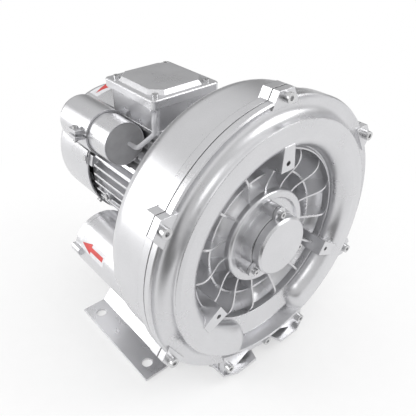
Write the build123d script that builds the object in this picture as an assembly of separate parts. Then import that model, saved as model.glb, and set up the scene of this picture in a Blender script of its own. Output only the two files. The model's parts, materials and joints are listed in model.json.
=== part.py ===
from build123d import *
import os
from math import atan2, cos, radians, sin, tan

os.makedirs("parts", exist_ok=True)

# Single-phase side channel blower with a cast housing, a flanged motor and a bent sheet foot.
# Every piece is drawn about the shaft: X to the right seen from the front, Y backwards along the
# shaft, Z up, with Y = 0 in the plane of the cover screws' heads. Turned pieces are outlines of
# (radius, depth) pairs spun about Y. Angles go from +X towards +Z. save() moves all of it onto the
# foot, whose origin is on the ground in the middle of the four foot holes. Sizes are millimetres.

# Stand
shaft_clearance = 22.0
foot_centre_depth = 138.0
foot_hole_span_x = 231.0
foot_hole_span_y = 106.0
foot_hole_radius = 6.5
foot_sheet = 3.0
foot_rise = 14.0
foot_flange_width = 30.0
foot_flange_length = 145.0
foot_panel_half = 88.0
foot_tongue_inner = 18.0
foot_tongue_outer = 66.0
foot_tongue_front = -2.5
foot_notch_back = 44.0

# Casing
rim_radius = 153.0
front_lip_depth = 6.0
split_depth = 14.0
gasket_thickness = 1.0
spigot_radius = 138.5
spigot_clearance = 0.5
crease_radius = 133.0
face_depth = -3.5
rim_step = 3.5
rear_lip_length = 9.0
casing_back = 86.0
casing_corner = 22.0
rear_boss_radius = 84.0
rear_boss_back = 96.0
gusset_reach = 118.0
recess_floor = 36.0
floor_thickness = 4.0
lip_radius = 97.0
step_radius = 71.5
hub_ring_radius = 53.0
hub_ring_depth = 14.5
hub_boss_radius = 34.0
hub_boss_depth = 4.0
channel_outer_radius = 130.0
channel_inner_radius = 105.0
channel_front = 1.5
channel_back = 80.0
channel_corner = 11.0
dome_end_radius = 26.0
right_channel_end = -60.5
left_channel_end = -119.0
fin_count = 15
fin_first_angle = 18.0
fin_thickness = 2.4
fin_crown_depth = 11.5
tab_angles = (90.0, 210.0, 330.0)
tab_hole_radius = 2.6
tab_hole_circle = 94.0

# Rim lugs and their screws
lug_standoff = 2.0
lug_angles = (30.0, 90.0, 150.0, 210.0, 330.0)
bottom_lug_inset = 6.0
lug_root = 7.0
lug_reach = 6.5
lug_back = 26.0
foot_screw_x = 58.5
foot_screw_inset = 4.0
foot_lug_top = -124.0
foot_lug_back = 38.0
foot_pad_front = 60.0
foot_pad_back = 80.0
screw_radius = 3.0
screw_head_radius = 5.0
screw_head_height = 6.0
screw_length = 18.0
hole_clearance = 0.3
foot_bolt_radius = 4.0
foot_bolt_head = 5.3
foot_bolt_depths = (29.5, 70.0)

# Bearing cap
cap_radius = 32.5
cap_front = -7.0
cap_flange = 3.5
cap_screw_circle = 37.0
cap_screw_radius = 2.0
cap_screw_head_radius = 3.5
cap_screw_head_height = 4.0
ear_radius = 6.8

# Impeller
running_gap = 0.6
impeller_back = 61.4
blade_count = 40
blade_thickness = 2.4
blade_web = 3.6
impeller_disc_front = 46.0
impeller_disc_back = 54.0
impeller_hub_radius = 27.0
impeller_hub_front = 41.0
impeller_hub_back = 72.0
key_width = 8.0
key_height = 7.0

# Shaft and bearings
shaft_radius = 12.5
shaft_front = 3.0
shaft_back = 306.0
collar_radius = 16.0
collar_length = 4.0
bearing_inner = 10.0
bearing_outer = 23.5
bearing_width = 14.0
front_bearing_front = 8.0
rear_bearing_front = 236.0
ball_count = 9
ball_radius = 3.9
ball_clearance = 0.06
fan_seat_radius = 8.0
fan_seat_front = 262.0
seal_clearance = 0.1
seal_width = 7.0
front_seal_radius = 19.5
front_seal_front = 26.0
rear_seal_radius = 21.0
circlip_thickness = 1.6
circlip_depth = 0.7

# Motor
flange_back = 104.0
flange_angles = (45.0, 135.0, 250.0, 290.0)
flange_bolt_circle = 88.0
flange_ear_radius = 9.0
frame_back = 236.0
frame_bore = 62.3
frame_shell = 67.0
fin_envelope = 75.5
motor_fin_pitch = 11.1
motor_fin_thickness = 2.4
motor_fin_pairs = 4
corner_rib_radius = 5.5
corner_rib_circle = 68.0
relief_gap = 1.0
earth_boss_depth = 203.0
core_front = 116.0
core_back = 192.0
core_bore = 42.0
air_gap = 0.5
winding_reach = 16.0
end_ring_reach = 8.0
shield_thickness = 12.0
shield_radius = 70.0
shield_screw_angles = (20.0, 110.0, 200.0, 290.0)
shield_screw_circle = 64.7

# Fan and cowl
cowl_radius = 78.0
cowl_wall = 1.8
cowl_front = 247.0
cowl_back = 328.0
cowl_corner = 12.0
cowl_screw_angles = (35.0, 165.0, 215.0, 325.0)
cowl_screw_depth = 252.0
grille_slots = 20
grille_slot_width = 4.5
fan_radius = 61.0
fan_front = 272.0
fan_back = 300.0
fan_blades = 9

# Capacitor and its pocket on the cowl
capacitor_x = -66.0
capacitor_z = 67.5
capacitor_radius = 24.8
capacitor_wall = 1.0
capacitor_front = 171.0
capacitor_back = 262.0
capacitor_cap_length = 5.0
pocket_web_angles = (111.0, 158.0)
pocket_wall = 2.4
pocket_gap = 0.3
pocket_front = 206.0
pocket_back = 271.0
pocket_corner = 6.0
clamp_angle = 172.0
clamp_reach = 32.0
clamp_front = 213.0
clamp_back = 229.0
clamp_slit = 3.0
clamp_ear = 4.0
small_screw_radius = 2.0
small_head_radius = 3.5
small_head_height = 3.0

# Capacitor lead
lead_radius = 2.6
lead_start_x = -59.9
lead_start_z = 66.0
lead_forward = 15.0
lead_rise = 18.0
lead_standoff = 10.0
lead_bend = 9.0
lead_hole_z = 103.0
grommet_radius = 4.8
grommet_neck = 1.2
grommet_flange = 2.0

# Terminal box
box_half_x = 41.5
box_front = 146.0
box_back = 235.0
box_floor = 78.0
box_floor_thickness = 4.0
box_top = 116.0
box_wall = 3.5
box_corner = 9.0
box_screw_inset = 10.5
box_passage_depth = 202.0
box_passage_radius = 7.0
lid_overhang = 3.5
lid_bottom = 109.5
lid_plate = 119.0
lid_panel_rise = 4.5
lid_panel_inset = 6.0
lid_panel_cut = 14.0
lid_gap = 0.4
box_gasket = 1.0
gland_depth = 190.5
gland_height = 98.0
gland_bore = 5.0
gland_thread = 8.0
gland_hex = 11.0
clamp_point_xs = (-13.0, 0.0, 13.0)
clamp_point_ys = (180.5, 191.5)

# Port tubes
port_x = 93.0
port_z = -62.0
port_radius = 36.6
port_bore = 31.6
port_thread_radius = 28.4
port_back = 194.0
port_flange_thickness = 6.0
port_screw_circle = 37.0
port_screw_angles = (-8.0, 172.0)
port_boss_radius = 5.0
port_boss_length = 9.0
silencer_wall = 5.0
silencer_front = 106.0
silencer_back = 190.0

shaft_height = rim_radius + shaft_clearance
barrel_radius = rim_radius - rim_step
lug_circle = rim_radius + lug_standoff
bottom_lug_circle = rim_radius - bottom_lug_inset
foot_screw_z = foot_screw_inset - rim_radius
cover_back = recess_floor + floor_thickness
housing_front = split_depth + gasket_thickness
housing_bore = spigot_radius + spigot_clearance
chamber_front = cover_back + running_gap
chamber_back = impeller_back + running_gap
impeller_front = chamber_front
impeller_radius = channel_outer_radius - running_gap
bearing_pitch = (bearing_inner + bearing_outer) / 2
front_shoulder = front_bearing_front + bearing_width
rear_shoulder = rear_bearing_front + bearing_width
panel_top = -shaft_height + foot_rise + foot_sheet
channel_arc = 360.0 - right_channel_end + left_channel_end
port_flange_back = port_back + port_flange_thickness
port_boss_front = port_back - port_boss_length
shield_back = frame_back + shield_thickness
pocket_radius = capacitor_radius + pocket_gap + pocket_wall
box_centre = (box_front + box_back) / 2
box_half_y = (box_back - box_front) / 2
box_inside = box_floor + box_floor_thickness


def turn(angle):
    """Rotation about the shaft that carries +X towards +Z."""
    return Rot(0, -angle, 0)


def polar(radius, angle):
    """Point in the (x, z) plane."""
    return radius * cos(radians(angle)), radius * sin(radians(angle))


def section(*curves):
    """Closed face in the (radius, depth) plane from curves laid end to end."""
    edges = []
    for curve in curves:
        edges.extend(curve.edges())
    return make_face(edges)


def turned(*points):
    """Solid of revolution about the shaft from a closed run of (radius, depth) points."""
    return revolve(make_face(Polyline(*points, close=True)), Axis.Y)


def ring(outer, inner, front, back):
    """Plain ring about the shaft."""
    return turned((inner, front), (outer, front), (outer, back), (inner, back))


def rod(x, z, radius, front, back):
    """Round bar along the shaft's direction."""
    bar = Cylinder(radius, back - front, align=(Align.CENTER, Align.CENTER, Align.MIN))
    return Pos(x, front, z) * Rot(-90, 0, 0) * bar


def post(x, y, radius, bottom, top):
    """Upright round bar."""
    bar = Cylinder(radius, top - bottom, align=(Align.CENTER, Align.CENTER, Align.MIN))
    return Pos(x, y, bottom) * bar


def slab(outline, front, back):
    """Plate with an (x, z) outline, from one depth to another."""
    plane = Plane(origin=(0, back, 0), x_dir=(1, 0, 0), z_dir=(0, -1, 0))
    return extrude(plane * make_face(Polyline(*outline, close=True)), back - front)


def block(x0, x1, y0, y1, z0, z1):
    """Box between two corners."""
    return Pos((x0 + x1) / 2, (y0 + y1) / 2, (z0 + z1) / 2) * Box(x1 - x0, y1 - y0, z1 - z0)


def rounded_block(half_x, front, back, corner, bottom, top):
    """Upright box about the shaft's plane with rounded vertical edges."""
    outline = RectangleRounded(2 * half_x, back - front, corner)
    return extrude(Pos(0, (front + back) / 2, bottom) * outline, top - bottom)


def across(depth, x, z):
    """Plane across the shaft's direction, with its normal to the front."""
    return Plane(origin=(x, depth, z), x_dir=(1, 0, 0), z_dir=(0, -1, 0))


def cap_screw(x, z, radius, head_radius, head_height, head_front, length):
    """Cap screw driven in from the front, with a hexagon socket in its head."""
    seat = head_front + head_height
    socket_plane = across(head_front + head_height / 2, x, z)
    socket = extrude(socket_plane * RegularPolygon(head_radius / 2, 6), head_height)
    screw = rod(x, z, head_radius, head_front, seat) + rod(x, z, radius, seat, seat + length)
    return screw - socket


def rear_screw(x, z, radius, head_radius, head_height, head_back, length):
    """Cap screw driven in from behind."""
    seat = head_back - head_height
    socket = extrude(across(head_back, x, z) * RegularPolygon(head_radius / 2, 6), head_height / 2)
    screw = rod(x, z, head_radius, seat, head_back) + rod(x, z, radius, seat - length, seat)
    return screw - socket


def lug_outline(circle):
    """Trapezoid of a rim lug that points along +X, seen from the front."""
    outer = circle + lug_reach
    root = rim_radius - lug_root
    return [(root, -17.0), (outer, -9.0), (outer, 9.0), (root, 17.0)]


def foot_lug(side, front, back):
    """Lug that stands on the foot, on the left (-1) or right (+1) of the bottom."""
    outline = [
        (side * (foot_tongue_outer - 2.0), foot_lug_top),
        (side * (foot_tongue_outer - 2.0), panel_top),
        (side * 44.0, panel_top),
        (side * 24.0, panel_top + 11.0),
        (side * 24.0, foot_lug_top),
    ]
    return slab(outline, front, back) - rod(0, 0, rim_radius - lug_root, front - 1.0, back + 1.0)


def lug_places():
    """(x, z) of every screw that holds the cover."""
    places = [polar(lug_circle, angle) for angle in lug_angles]
    places.append(polar(bottom_lug_circle, 270.0))
    places.extend((side * foot_screw_x, foot_screw_z) for side in (-1, 1))
    return places


def lugs(front, back, foot_back):
    """All rim lugs between two depths, with their own back at the two foot lugs."""
    plates = [turn(angle) * slab(lug_outline(lug_circle), front, back) for angle in lug_angles]
    plates.append(turn(270.0) * slab(lug_outline(bottom_lug_circle), front, back))
    plates.extend(foot_lug(side, front, foot_back) for side in (-1, 1))
    return plates


def cover_base():
    """Rim, groove, crease, bands of the interrupter, recess and hub of the cover."""
    crease = crease_radius
    return revolve(
        section(
            Polyline(
                (spigot_radius, split_depth),
                (rim_radius, split_depth),
                (rim_radius, front_lip_depth + 1.5),
                (rim_radius - 1.5, front_lip_depth),
            ),
            ThreePointArc(
                (rim_radius - 1.5, front_lip_depth),
                (crease + 8.0, front_lip_depth + 1.6),
                (crease + 0.6, face_depth + 1.5),
            ),
            Polyline(
                (crease + 0.6, face_depth + 1.5),
                (crease, face_depth),
                (crease - 2.0, face_depth + 0.5),
                (crease - 4.5, 13.0),
                (124.0, 14.0),
                (122.5, 9.5),
                (121.0, 9.5),
                (lip_radius + 3.0, 16.0),
                (lip_radius + 1.5, 13.5),
                (lip_radius, 13.5),
                (lip_radius - 1.5, recess_floor),
                (hub_ring_radius + 2.0, recess_floor),
                (hub_ring_radius, hub_ring_depth + 2.5),
            ),
            ThreePointArc(
                (hub_ring_radius, hub_ring_depth + 2.5),
                (hub_ring_radius - 1.2, hub_ring_depth + 0.6),
                (hub_ring_radius - 3.5, hub_ring_depth),
            ),
            Polyline(
                (hub_ring_radius - 3.5, hub_ring_depth),
                (45.0, hub_ring_depth + 0.5),
                (43.0, hub_ring_depth + 3.0),
                (hub_boss_radius + 1.0, hub_ring_depth + 3.0),
                (hub_boss_radius, hub_boss_depth),
                (bearing_outer, hub_boss_depth),
                (bearing_outer, front_shoulder),
                (front_seal_radius, front_shoulder),
                (front_seal_radius, cover_back),
                (spigot_radius, cover_back),
                (spigot_radius, split_depth),
            ),
        ),
        Axis.Y,
    )


def dome_inner_outline(centre):
    """Half section of the domed channel between its lip and the middle of its end."""
    inner = centre - dome_end_radius
    front = face_depth - 0.5
    return section(
        Line((centre, 22.0), (inner + 1.0, 22.0)),
        Line((inner + 1.0, 22.0), (inner, 15.0)),
        ThreePointArc((inner, 15.0), (inner + 4.4, 1.8), (inner + 16.0, front)),
        Line((inner + 16.0, front), (centre, front)),
        Line((centre, front), (centre, 22.0)),
    )


def dome():
    """Domed front of the side channel, with a rounded end on each side of the interrupter."""
    centre = lip_radius + 4.0 + dome_end_radius
    edge = crease_radius - 0.6
    outer = make_face(
        Polyline(
            (centre, 22.0), (centre, face_depth - 0.5), (edge, face_depth), (edge, 22.0), close=True
        )
    )
    inner_part = revolve(dome_inner_outline(centre), Axis.Y, -channel_arc)
    outer_part = revolve(outer, Axis.Y, -channel_arc)
    body = turn(right_channel_end) * (inner_part + outer_part)
    limit = rod(0, 0, edge, face_depth - 5.0, 22.0)
    puck = revolve(dome_inner_outline(centre), Axis((centre, 0, 0), (0, 1, 0)))
    for angle in (right_channel_end, left_channel_end):
        body += (turn(angle) * puck) & limit
    return body


def channel_hollow(deep, mouth):
    """Half of the side channel, rounded at its deep end and open towards the impeller."""
    inner, outer = channel_inner_radius, channel_outer_radius
    corner = channel_corner
    step = corner if mouth > deep else -corner
    bulge = 1 - sin(radians(45))
    outline = section(
        Line((inner, mouth), (inner, deep + step)),
        ThreePointArc(
            (inner, deep + step), (inner + corner * bulge, deep + step * bulge), (inner + corner, deep)
        ),
        Line((inner + corner, deep), (outer - corner, deep)),
        ThreePointArc(
            (outer - corner, deep), (outer - corner * bulge, deep + step * bulge), (outer, deep + step)
        ),
        Line((outer, deep + step), (outer, mouth)),
        Line((outer, mouth), (inner, mouth)),
    )
    return turn(right_channel_end) * revolve(outline, Axis.Y, -channel_arc)


def cover_fin():
    """One cooling fin along +X whose front edge is crowned between hub ring and lip."""
    start, end = hub_ring_radius - 1.0, lip_radius - 0.6
    root = recess_floor + 1.0
    crown = end - 10.0
    middle = (start + crown) / 2
    outline = section(
        Line((start, root), (start, fin_crown_depth + 10.0)),
        Spline(
            (start, fin_crown_depth + 10.0),
            (middle, fin_crown_depth + 5.5),
            (crown, fin_crown_depth),
            (end, fin_crown_depth + 4.0),
        ),
        Line((end, fin_crown_depth + 4.0), (end, root)),
        Line((end, root), (start, root)),
    )
    return extrude(outline, fin_thickness / 2, both=True)


def tab():
    """Radial bar with a flat front pad, along +X."""
    outline = [(86.0, -9.0), (112.0, -7.0), (112.0, 7.0), (86.0, 9.0)]
    return slab(outline, face_depth, recess_floor + 1.0)


def ear(front, back):
    """Screw ear of the bearing cap and of the boss behind it, along +X."""
    arm = block(28.0, cap_screw_circle, front, back, -ear_radius, ear_radius)
    return arm + rod(cap_screw_circle, 0, ear_radius, front, back)


def front_cover():
    cover = cover_base() + dome() + lugs(screw_head_height, split_depth, split_depth)
    cover += ring(step_radius + 1.2, step_radius - 1.2, 23.0, recess_floor + 1.0)
    cover += [turn(fin_first_angle + k * 360.0 / fin_count) * cover_fin() for k in range(fin_count)]
    cover += [turn(angle) * tab() for angle in tab_angles]
    cover += [turn(angle) * ear(hub_boss_depth, hub_ring_depth + 4.0) for angle in tab_angles]
    cover -= channel_hollow(channel_front, cover_back + 1.0)
    for x, z in lug_places():
        cover -= rod(x, z, screw_radius + hole_clearance, 0.0, split_depth + 1.0)
    for angle in tab_angles:
        x, z = polar(tab_hole_circle, angle)
        cover -= rod(x, z, tab_hole_radius, face_depth - 1.0, 12.0)
        x, z = polar(cap_screw_circle, angle)
        cover -= rod(x, z, cap_screw_radius, hub_boss_depth - 1.0, 14.0)
    return cover


def housing_gasket():
    gasket = ring(rim_radius - 1.0, housing_bore, split_depth, housing_front)
    gasket += lugs(split_depth, housing_front, housing_front)
    for x, z in lug_places():
        gasket -= rod(x, z, screw_radius + hole_clearance, split_depth - 1.0, housing_front + 1.0)
    return gasket


def cover_screws():
    return [
        cap_screw(x, z, screw_radius, screw_head_radius, screw_head_height, 0.0, screw_length)
        for x, z in lug_places()
    ]


def casing_back_outline():
    """Curves of the casing's back in the (radius, depth) plane, from its barrel to its boss."""
    corner = casing_corner
    bulge = corner * (1 - sin(radians(45)))
    return [
        ThreePointArc(
            (barrel_radius, casing_back - corner),
            (barrel_radius - bulge, casing_back - bulge),
            (barrel_radius - corner, casing_back),
        ),
        Polyline(
            (barrel_radius - corner, casing_back),
            (rear_boss_radius + 2.0, casing_back),
            (rear_boss_radius, casing_back + 2.0),
            (rear_boss_radius, rear_boss_back),
        ),
    ]


def casing_envelope():
    """Back of the casing without its hollows."""
    front = casing_back - casing_corner
    return revolve(
        section(
            Polyline((0, front), (barrel_radius, front)),
            *casing_back_outline(),
            Polyline((rear_boss_radius, rear_boss_back), (0, rear_boss_back), (0, front)),
        ),
        Axis.Y,
    )


def housing_body():
    """Barrel, rear wall and boss with the chamber that the impeller turns in."""
    seal_seat = rear_boss_back - seal_width - 1.0
    hub_pocket = impeller_hub_back + collar_length + 1.0
    return revolve(
        section(
            Polyline(
                (housing_bore, housing_front),
                (rim_radius, housing_front),
                (rim_radius, housing_front + rear_lip_length),
                (barrel_radius, housing_front + rear_lip_length + 2.0),
                (barrel_radius, casing_back - casing_corner),
            ),
            *casing_back_outline(),
            Polyline(
                (rear_boss_radius, rear_boss_back),
                (rear_seal_radius, rear_boss_back),
                (rear_seal_radius, seal_seat),
                (shaft_radius + 1.0, seal_seat),
                (shaft_radius + 1.0, hub_pocket),
                (impeller_hub_radius + 2.0, hub_pocket),
                (impeller_hub_radius + 2.0, impeller_disc_back + 12.0),
                (46.0, impeller_disc_back + 12.0),
                (48.0, channel_back),
                (95.0, channel_back),
                (97.0, chamber_back),
                (channel_outer_radius, chamber_back),
                (channel_outer_radius, chamber_front),
                (housing_bore, chamber_front),
                (housing_bore, housing_front),
            ),
        ),
        Axis.Y,
    )


def gusset():
    """Stiffening web between the rear boss and the rear wall, along +X."""
    outline = Polyline(
        (rear_boss_radius - 2.0, casing_back - 1.0),
        (gusset_reach, casing_back - 1.0),
        (rear_boss_radius - 2.0, rear_boss_back),
        close=True,
    )
    return extrude(make_face(outline), 2.5, both=True)


def port_screw_places(side):
    """Centres of the two screws that hold a port's flange."""
    places = []
    for angle in port_screw_angles:
        dx, dz = polar(port_screw_circle, angle)
        places.append((side * (port_x + dx), port_z - dz))
    return places


def flange_ear(front, back):
    """Bolt ear of the motor's flange and of the boss that it sits on, along +X."""
    arm = block(70.0, flange_bolt_circle, front, back, -flange_ear_radius, flange_ear_radius)
    return arm + rod(flange_bolt_circle, 0, flange_ear_radius, front, back)


def port_tube(side):
    """Port tube that sits on the casing's back, with two screw bosses at its mouth."""
    tube = rod(side * port_x, port_z, port_radius, casing_back - casing_corner, port_back)
    for x, z in port_screw_places(side):
        tube += rod(x, z, port_boss_radius, port_boss_front, port_back)
    tube -= casing_envelope()
    tube -= rod(side * port_x, port_z, port_bore, casing_back, port_back + 1.0)
    for x, z in port_screw_places(side):
        tube -= rod(x, z, small_screw_radius, port_boss_front + 1.0, port_back + 1.0)
    return tube


def rear_housing():
    housing = housing_body() + lugs(housing_front, lug_back, foot_lug_back)
    for side in (-1, 1):
        inner, outer = sorted((side * 50.0, side * (foot_tongue_outer - 2.0)))
        housing += block(inner, outer, foot_pad_front, foot_pad_back, panel_top, foot_lug_top + 4.0)
    for k in range(12):
        angle = 15.0 + 30.0 * k
        if angle not in (195.0, 225.0, 315.0, 345.0):
            housing += turn(angle) * gusset()
    housing += [turn(angle) * flange_ear(casing_back - 1.0, rear_boss_back) for angle in flange_angles]
    housing -= rod(0, 0, channel_outer_radius, chamber_front - 1.0, chamber_back)
    housing -= channel_hollow(channel_back, chamber_back - 1.0)
    for side in (-1, 1):
        throat = rod(side * port_x, port_z, port_bore, channel_back - 4.0, casing_back)
        housing -= throat & ring(
            channel_outer_radius, channel_inner_radius, channel_back - 4.0, casing_back
        )
        housing -= rod(side * port_x, port_z, port_bore, casing_back, rear_boss_back + 1.0)
        for depth in foot_bolt_depths:
            x = side * foot_screw_x
            housing -= post(x, depth, foot_bolt_radius, panel_top - 1.0, panel_top + 12.0)
    for x, z in lug_places():
        housing -= rod(x, z, screw_radius, housing_front - 1.0, screw_head_height + screw_length)
    for angle in flange_angles:
        x, z = polar(flange_bolt_circle, angle)
        housing -= rod(x, z, screw_radius, casing_back + 1.0, rear_boss_back + 1.0)
    return housing


def hub_cap():
    """Bearing cap with three screw ears and a spigot that holds the outer ring back."""
    cap = turned(
        (0, cap_front),
        (cap_radius - 2.0, cap_front),
        (cap_radius, cap_front + 2.0),
        (cap_radius, cap_flange),
        (bearing_outer, cap_flange),
        (bearing_outer, front_bearing_front),
        (20.0, front_bearing_front),
        (20.0, -3.0),
        (0, -3.0),
    )
    cap += [turn(angle) * ear(0.0, cap_flange) for angle in tab_angles]
    for angle in tab_angles:
        x, z = polar(cap_screw_circle, angle)
        cap -= rod(x, z, cap_screw_radius + hole_clearance, -1.0, cap_flange + 1.0)
        cap -= rod(x, z, cap_screw_head_radius + hole_clearance, cap_front - 1.0, 0.0)
    return cap


def hub_cap_gasket():
    gasket = ring(cap_radius, bearing_outer, cap_flange, hub_boss_depth)
    gasket += [turn(angle) * ear(cap_flange, hub_boss_depth) for angle in tab_angles]
    for angle in tab_angles:
        x, z = polar(cap_screw_circle, angle)
        gasket -= rod(x, z, cap_screw_radius + hole_clearance, cap_flange - 1.0, hub_boss_depth + 1.0)
    return gasket


def hub_cap_screws():
    screws = []
    head = cap_screw_head_height
    for angle in tab_angles:
        x, z = polar(cap_screw_circle, angle)
        screws.append(cap_screw(x, z, cap_screw_radius, cap_screw_head_radius, head, -head, 13.0))
    return screws


def port_flange(side):
    """Rear flange with the threaded mouth of one port."""
    flange = rod(side * port_x, port_z, port_radius, port_back, port_flange_back)
    for x, z in port_screw_places(side):
        flange += rod(x, z, port_boss_radius, port_back, port_flange_back)
    flange -= rod(side * port_x, port_z, port_thread_radius, port_back - 1.0, port_flange_back + 1.0)
    for x, z in port_screw_places(side):
        flange -= rod(x, z, small_screw_radius + hole_clearance, port_back - 1.0, port_flange_back + 1.0)
    return flange


def port_flange_screws():
    head_back = port_flange_back + small_head_height
    length = port_flange_thickness + port_boss_length - 2.0
    return [
        rear_screw(x, z, small_screw_radius, small_head_radius, small_head_height, head_back, length)
        for side in (-1, 1)
        for x, z in port_screw_places(side)
    ]


def silencer_insert(side):
    """Foam sleeve inside one port tube."""
    x, inner = side * port_x, port_bore - silencer_wall
    sleeve = rod(x, port_z, port_bore, silencer_front, silencer_back)
    return sleeve - rod(x, port_z, inner, silencer_front - 1.0, silencer_back + 1.0)


def impeller():
    """Double-sided wheel whose blades part the pockets on both sides of a web."""
    middle = (impeller_front + impeller_back) / 2
    inner_rim = channel_inner_radius - 5.0
    web_radius = impeller_radius - 1.5
    wheel = turned(
        (shaft_radius, impeller_hub_front),
        (impeller_hub_radius - 1.5, impeller_hub_front),
        (impeller_hub_radius, impeller_hub_front + 1.5),
        (impeller_hub_radius, impeller_disc_front),
        (inner_rim, impeller_disc_front),
        (inner_rim, impeller_front),
        (channel_inner_radius, impeller_front),
        (channel_inner_radius + 3.0, middle - blade_web / 2),
        (web_radius, middle - 0.8),
        (web_radius, middle + 0.8),
        (channel_inner_radius + 3.0, middle + blade_web / 2),
        (channel_inner_radius, impeller_back),
        (inner_rim, impeller_back),
        (inner_rim, impeller_disc_back),
        (impeller_hub_radius, impeller_disc_back),
        (impeller_hub_radius, impeller_hub_back),
        (shaft_radius, impeller_hub_back),
    )
    for k in range(6):
        x, z = polar(66.0, 60.0 * k)
        wheel -= rod(x, z, 9.0, impeller_disc_front - 1.0, impeller_disc_back + 1.0)
    wheel -= impeller_key()
    root = channel_inner_radius - 2.0
    half = blade_thickness / 2
    blade = block(root, impeller_radius + 5.0, impeller_front, impeller_back, -half, half)
    blade = blade & rod(0, 0, impeller_radius, impeller_front - 1.0, impeller_back + 1.0)
    for k in range(blade_count):
        wheel += turn(k * 360.0 / blade_count) * blade
    return wheel


def impeller_key():
    top = shaft_radius + key_height - 4.0
    half = key_width / 2
    return block(-half, half, impeller_hub_front + 3.0, impeller_hub_back - 3.0, top - key_height, top)


def impeller_circlip():
    front = impeller_hub_front - circlip_thickness
    groove_radius = shaft_radius - circlip_depth
    clip = ring(shaft_radius + 4.0, groove_radius, front, impeller_hub_front)
    return clip - block(-3.0, 3.0, front - 1.0, impeller_hub_front + 1.0, -30.0, -1.0)


def shaft():
    collar_back = impeller_hub_back + collar_length
    clip_front = impeller_hub_front - circlip_thickness
    body = turned(
        (0, shaft_front),
        (bearing_inner - 1.0, shaft_front),
        (bearing_inner, shaft_front + 1.0),
        (bearing_inner, front_shoulder),
        (shaft_radius, front_shoulder),
        (shaft_radius, clip_front),
        (shaft_radius - circlip_depth, clip_front),
        (shaft_radius - circlip_depth, impeller_hub_front),
        (shaft_radius, impeller_hub_front),
        (shaft_radius, impeller_hub_back),
        (collar_radius, impeller_hub_back),
        (collar_radius, collar_back),
        (shaft_radius, collar_back),
        (shaft_radius, rear_bearing_front),
        (bearing_inner, rear_bearing_front),
        (bearing_inner, fan_seat_front),
        (fan_seat_radius, fan_seat_front),
        (fan_seat_radius, fan_back),
        (fan_seat_radius - circlip_depth, fan_back),
        (fan_seat_radius - circlip_depth, fan_back + circlip_thickness),
        (fan_seat_radius, fan_back + circlip_thickness),
        (fan_seat_radius, shaft_back - 1.0),
        (fan_seat_radius - 1.0, shaft_back),
        (0, shaft_back),
    )
    return body - impeller_key()


def ball_track(front):
    """Track shared by a bearing's two rings."""
    middle = front + bearing_width / 2
    return revolve(Pos(bearing_pitch, middle, 0) * Circle(ball_radius + ball_clearance), Axis.Y)


def bearing_outer_ring(front):
    outer = ring(bearing_outer, bearing_pitch + 2.4, front, front + bearing_width)
    return outer - ball_track(front)


def bearing_inner_ring(front):
    inner = ring(bearing_pitch - 2.4, bearing_inner, front, front + bearing_width)
    return inner - ball_track(front)


def bearing_balls(front):
    ball = Pos(bearing_pitch, front + bearing_width / 2, 0) * Sphere(ball_radius)
    return [turn(k * 360.0 / ball_count) * ball for k in range(ball_count)]


def bearing_cage(front):
    """Ring that spaces the balls, with a round pocket for each."""
    middle = front + bearing_width / 2
    cage = ring(bearing_pitch + 1.3, bearing_pitch - 1.3, middle - 4.8, middle + 4.8)
    pocket = Pos(bearing_pitch, middle, 0) * Rot(0, 90, 0) * Cylinder(ball_radius, 8.0)
    for k in range(ball_count):
        cage -= turn(k * 360.0 / ball_count) * pocket
    return cage


def shaft_seal(outer, front):
    """Lip seal ring around the shaft."""
    inner = shaft_radius + seal_clearance
    return turned(
        (inner, front + 2.5),
        (inner + 1.5, front),
        (outer, front),
        (outer, front + seal_width),
        (inner + 4.0, front + seal_width),
        (inner + 2.0, front + 3.5),
        (inner, front + 3.5),
    )


def port_relief(radius, front, back):
    """Room around both port tubes."""
    return [rod(side * port_x, port_z, radius, front, back) for side in (-1, 1)]


def capacitor_relief(front, back):
    """Room around the capacitor's pocket."""
    return rod(capacitor_x, capacitor_z, pocket_radius + relief_gap, front, back)


def motor_fins():
    """Parallel fins on all four sides, cut off by the round envelope."""
    front = flange_back - 1.0
    envelope = rod(0, 0, fin_envelope, front, frame_back)
    half = motor_fin_thickness / 2
    fins = []
    for k in range(motor_fin_pairs):
        for sign in (-1, 1):
            middle = sign * (k + 0.5) * motor_fin_pitch
            for start, end in ((-80.0, -45.0), (45.0, 80.0)):
                fins.append(block(start, end, front, frame_back, middle - half, middle + half) & envelope)
                fins.append(block(middle - half, middle + half, front, frame_back, start, end) & envelope)
    return fins


def earth_bar(radius, start, end):
    """Round bar to the left, in line with the small boss between two fins."""
    bar = Cylinder(radius, end - start, align=(Align.CENTER, Align.CENTER, Align.MIN))
    return Pos(-start, earth_boss_depth, -motor_fin_pitch) * Rot(0, -90, 0) * bar


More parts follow.
